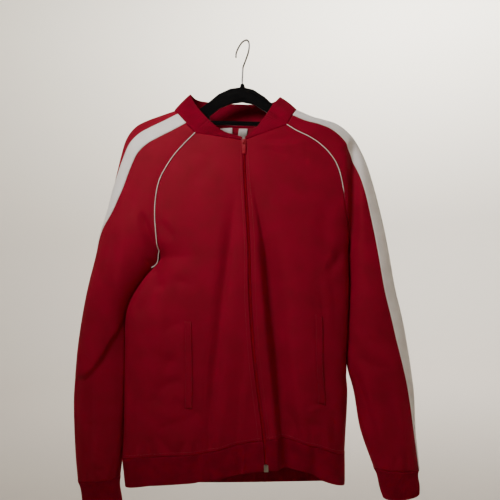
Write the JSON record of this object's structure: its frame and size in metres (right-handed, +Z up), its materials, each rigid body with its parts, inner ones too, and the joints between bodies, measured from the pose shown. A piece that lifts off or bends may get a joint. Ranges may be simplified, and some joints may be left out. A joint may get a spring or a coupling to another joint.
{
  "type": "track jacket on a hanger",
  "caption": "Zip-front track jacket with raglan sleeves, rib collar, cuffs and hem, hanging on a slim hanger with a wire hook.",
  "frame": {"origin": "underside of the hook's crown, where a rail or nail carries the hanger", "axes": "+Z up, -Y out of the jacket's front, +X to the right as seen from the front"},
  "size_m": [0.6782, 0.1005, 0.9481],
  "materials": {
    "tricot": "knitted polyester tricot, soft sheen",
    "rib": "rib knit, matt",
    "white_tape": "woven white tape",
    "piping_white": "satin piping",
    "zip_tape": "woven zip tape",
    "zip_teeth": "coil zip teeth",
    "zip_metal": "enamelled slider",
    "bare_metal": "bare box",
    "label": "satin label",
    "velvet": "flocked",
    "wire": "polished wire"
  },
  "bodies": {
    "jacket": {"front_right": "tricot", "front_left": "tricot", "back": "tricot", "sleeve_right": "tricot", "sleeve_left": "tricot", "collar": "rib", "hem_band": "rib", "cuff_right": "rib", "cuff_left": "rib", "sleeve_tape_right": "white_tape", "sleeve_tape_left": "white_tape", "piping_right": "piping_white", "piping_left": "piping_white", "piping_back_right": "piping_white", "piping_back_left": "piping_white", "pocket_welt_right": "tricot", "pocket_welt_left": "tricot", "zip_tape_right": "zip_tape", "zip_tape_left": "zip_tape", "zip_chain": "zip_teeth", "zip_slider": "zip_metal", "zip_box": "bare_metal", "neck_label": "label", "care_tag": "label", "hanger": "velvet", "hanger_hook": "wire"},
    "tab": {"pull_tab": "zip_metal"}
  },
  "joints": [
    {"name": "pull_tab_swing", "type": "hinge", "parent": "jacket", "child": "tab", "pos_m": [-0.007, -0.05, -0.2125], "axis": [-1, 0, 0], "range_deg": [0, 165]}
  ]
}
